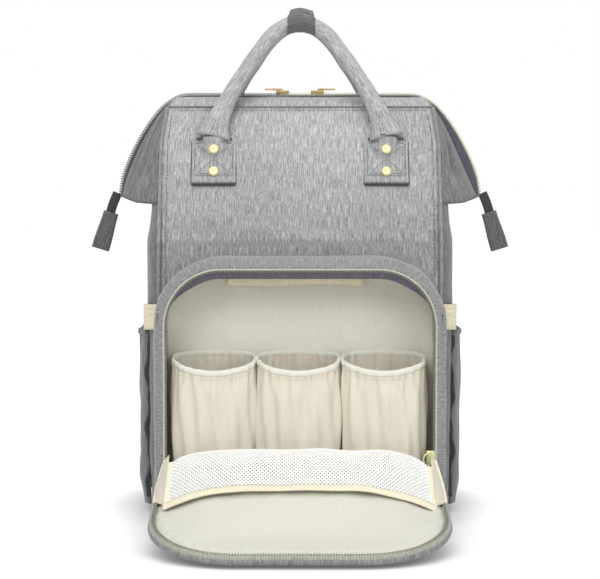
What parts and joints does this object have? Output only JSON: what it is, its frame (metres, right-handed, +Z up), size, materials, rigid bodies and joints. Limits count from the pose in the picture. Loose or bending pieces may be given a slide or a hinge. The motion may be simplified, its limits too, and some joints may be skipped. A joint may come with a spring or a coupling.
{
  "type": "diaper bag",
  "caption": "Backpack diaper bag: wire-framed winged mouth with zip, two rolled handles, open drop-down front pocket with bottle sleeves and mesh pocket, side pockets, padded straps.",
  "frame": {"origin": "centre of the base's underside, on the ground", "axes": "+X to the bag's left-hand side as worn (viewer's right), +Y to the strap side, +Z up; the front pocket faces -Y"},
  "size_m": [0.4042, 0.3958, 0.4858],
  "materials": {
    "heather_cloth": "matt heather weave",
    "dark_cloth": "matt dark lining",
    "cream_satin": "satin lining",
    "white_mesh": "open diamond mesh",
    "zip_tape": "woven zip tape",
    "gold_metal": "polished pale gold",
    "frame_steel": "spring wire, sewn in",
    "base_stiffener": "stiff insert",
    "black_plastic": "moulded",
    "cream_binding": "folded binding"
  },
  "bodies": {
    "bag": {"front_panel": "heather_cloth", "back_panel": "heather_cloth", "side_panel_right": "heather_cloth", "side_panel_left": "heather_cloth", "base_panel": "heather_cloth", "base_board": "base_stiffener", "main_lining": "dark_cloth", "front_piping": "heather_cloth", "pocket_gusset": "heather_cloth", "pocket_back_lining": "cream_satin", "pocket_kick_panel": "cream_satin", "pocket_zip_tape": "zip_tape", "pocket_zip_teeth": "gold_metal", "bottle_pocket_left": "cream_satin", "bottle_pocket_centre": "cream_satin", "bottle_pocket_right": "cream_satin", "pocket_elastics": "cream_satin", "side_pocket_right": "heather_cloth", "side_pocket_left": "heather_cloth", "side_tabs": "cream_satin", "shoulder_strap_right": "heather_cloth", "shoulder_strap_left": "heather_cloth", "strap_webbings": "zip_tape", "strap_yoke": "heather_cloth", "mouth_gussets": "dark_cloth"},
    "front_mouth": {"front_mouth_panel": "heather_cloth", "front_mouth_band": "heather_cloth", "front_zip_tape": "zip_tape", "front_zip_teeth": "gold_metal", "front_wings": "heather_cloth", "front_frame_wire": "frame_steel", "front_handle_patches": "heather_cloth", "front_rivets": "gold_metal"},
    "back_mouth": {"back_mouth_panel": "heather_cloth", "back_mouth_band": "heather_cloth", "back_zip_tape": "zip_tape", "back_zip_teeth": "gold_metal", "back_wings": "heather_cloth", "back_frame_wire": "frame_steel", "back_handle_patches": "heather_cloth", "back_rivets": "gold_metal"},
    "front_handle": {"front_handle": "heather_cloth", "handle_wrap": "zip_tape"},
    "back_handle": {"back_handle": "heather_cloth"},
    "main_slider_right": {"main_slider_right": "gold_metal"},
    "main_slider_left": {"main_slider_left": "gold_metal"},
    "main_pull_right": {"main_pull_right": "black_plastic"},
    "main_pull_left": {"main_pull_left": "black_plastic"},
    "pocket_slider": {"pocket_slider": "gold_metal"},
    "strap_adjuster_right": {"strap_adjuster_right": "black_plastic"},
    "strap_adjuster_left": {"strap_adjuster_left": "black_plastic"},
    "zip_tail_right": {"zip_tail_right": "zip_tape"},
    "zip_tail_left": {"zip_tail_left": "zip_tape"},
    "flap": {"flap_shell": "heather_cloth", "flap_lining": "cream_satin", "flap_mesh_pocket": "white_mesh", "flap_mesh_binding": "cream_binding", "flap_bellows": "cream_satin", "flap_zip": "heather_cloth"}
  },
  "joints": [
    {"name": "mouth_front_open", "type": "hinge", "parent": "bag", "child": "front_mouth", "pos_m": [0, -0.075, 0.262], "axis": [1, 0, 0], "range_deg": [0, 24]},
    {"name": "mouth_back_open", "type": "hinge", "parent": "bag", "child": "back_mouth", "pos_m": [0, 0.075, 0.262], "axis": [1, 0, 0], "range_deg": [-24, 0]},
    {"name": "pocket_flap", "type": "hinge", "parent": "bag", "child": "flap", "pos_m": [0, -0.129, 0.05], "axis": [-1, 0, 0], "range_deg": [0, 100]},
    {"name": "front_handle_fold", "type": "hinge", "parent": "front_mouth", "child": "front_handle", "pos_m": [0, -0.0415, 0.36], "axis": [1, 0, 0], "range_deg": [0, 130]},
    {"name": "back_handle_fold", "type": "hinge", "parent": "back_mouth", "child": "back_handle", "pos_m": [0, 0.0415, 0.36], "axis": [-1, 0, 0], "range_deg": [0, 130]},
    {"name": "slider_right_run", "type": "slide", "parent": "front_mouth", "child": "main_slider_right", "axis": [1, 0, 0], "range_m": [0, 0.09]},
    {"name": "slider_left_run", "type": "slide", "parent": "front_mouth", "child": "main_slider_left", "axis": [-1, 0, 0], "range_m": [0, 0.09]},
    {"name": "pull_right_lift", "type": "hinge", "parent": "main_slider_right", "child": "main_pull_right", "pos_m": [0.017, 0, 0.4052], "axis": [0, -1, 0], "range_deg": [0, 150]},
    {"name": "pull_left_lift", "type": "hinge", "parent": "main_slider_left", "child": "main_pull_left", "pos_m": [-0.017, 0, 0.4052], "axis": [0, 1, 0], "range_deg": [0, 150]},
    {"name": "pocket_slider_run", "type": "slide", "parent": "bag", "child": "pocket_slider", "axis": [0, 0, 1], "range_m": [0, 0.11]},
    {"name": "adjuster_right_run", "type": "slide", "parent": "bag", "child": "strap_adjuster_right", "axis": [0.4525, 0, -0.8917], "range_m": [0, 0.012]},
    {"name": "adjuster_left_run", "type": "slide", "parent": "bag", "child": "strap_adjuster_left", "axis": [-0.4525, 0, -0.8917], "range_m": [0, 0.012]},
    {"name": "zip_tail_right_swing", "type": "hinge", "parent": "front_mouth", "child": "zip_tail_right", "pos_m": [0.1786, 0, 0.3036], "axis": [0, 1, 0], "range_deg": [-45, 0]},
    {"name": "zip_tail_left_swing", "type": "hinge", "parent": "front_mouth", "child": "zip_tail_left", "pos_m": [-0.1786, 0, 0.3036], "axis": [0, -1, 0], "range_deg": [-45, 0]}
  ],
  "couplings": [
    {"joint": "mouth_back_open", "follows": "mouth_front_open", "ratio": -1}
  ]
}
